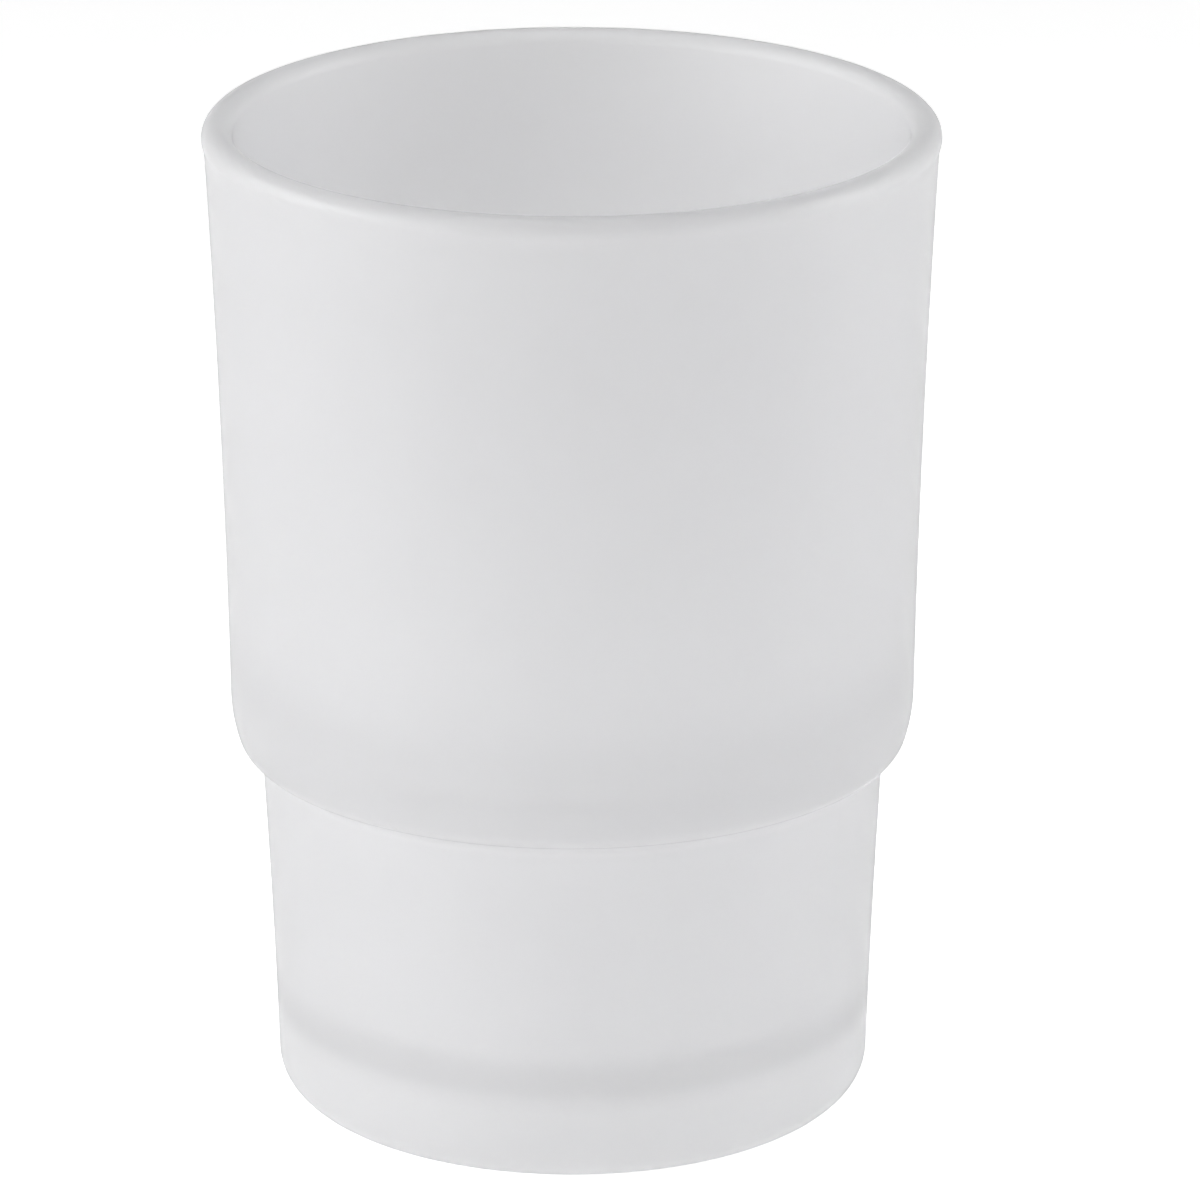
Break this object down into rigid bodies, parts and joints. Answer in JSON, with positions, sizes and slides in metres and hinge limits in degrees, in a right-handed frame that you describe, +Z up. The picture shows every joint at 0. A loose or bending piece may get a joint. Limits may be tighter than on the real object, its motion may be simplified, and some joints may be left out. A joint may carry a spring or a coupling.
{
  "type": "bathroom tumbler",
  "caption": "Satin-etched glass tumbler with a flared bowl, a rounded rim, a shoulder whose lower edge sits on a holder ring, a narrower lower body and a heavy base.",
  "frame": {"origin": "on the tumbler's axis, in the plane of the ring that it stands on", "axes": "+Z up along the axis, from the base to the mouth; X and Y are alike, because the tumbler is round"},
  "size_m": [0.0706, 0.0706, 0.098],
  "materials": {
    "etched_glass": "satin acid-etched all over, translucent white"
  },
  "bodies": {
    "root": {"tumbler": "etched_glass"}
  },
  "joints": []
}
